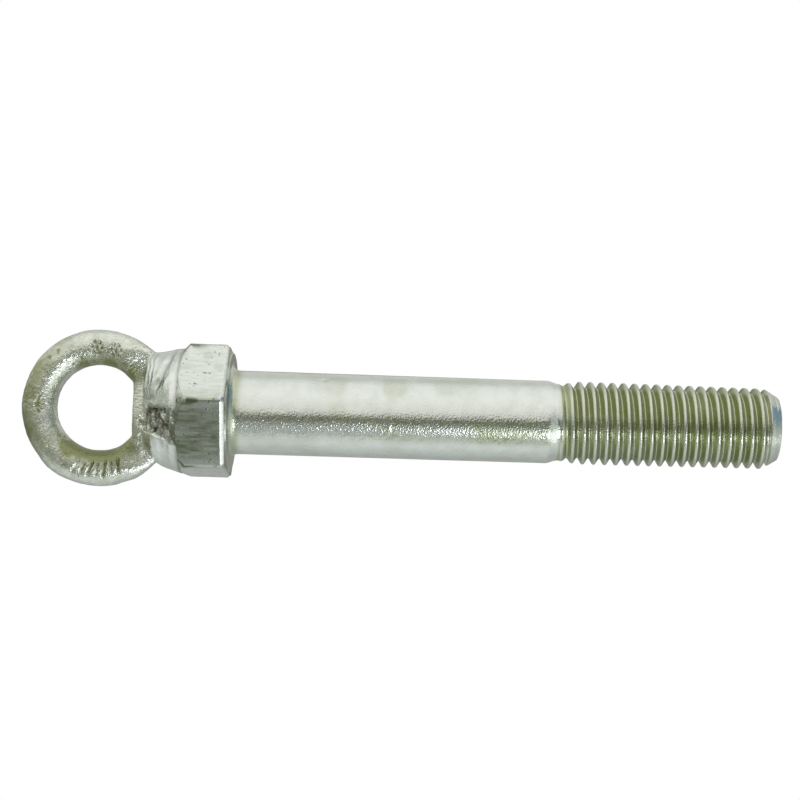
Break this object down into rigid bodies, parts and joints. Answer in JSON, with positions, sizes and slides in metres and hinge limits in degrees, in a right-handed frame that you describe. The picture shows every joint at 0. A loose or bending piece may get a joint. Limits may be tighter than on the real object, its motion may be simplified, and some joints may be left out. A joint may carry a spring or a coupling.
{
  "type": "welded eye bolt",
  "caption": "Eye bolt for lifting and rigging: a small closed forged ring welded upright on the hexagon head of a long, part-threaded machine bolt.",
  "frame": {"origin": "centre of the flat bearing face under the hexagon head, on the bolt axis", "axes": "+Z along the bolt axis towards the eye; the eye stands in the XZ plane, and its hole runs along Y; the thread points towards -Z"},
  "size_m": [0.035, 0.03, 0.1707],
  "materials": {
    "plated_bolt": "bright zinc plate over a smooth drawn and rolled surface",
    "plated_forging": "bright zinc plate over a grainy forged surface",
    "plated_weld": "bright zinc plate over rippled, pitted weld metal"
  },
  "bodies": {
    "root": {"hex_bolt": "plated_bolt", "eye_ring": "plated_forging", "weld_upper_run": "plated_weld", "weld_lower_run": "plated_weld"}
  },
  "joints": []
}
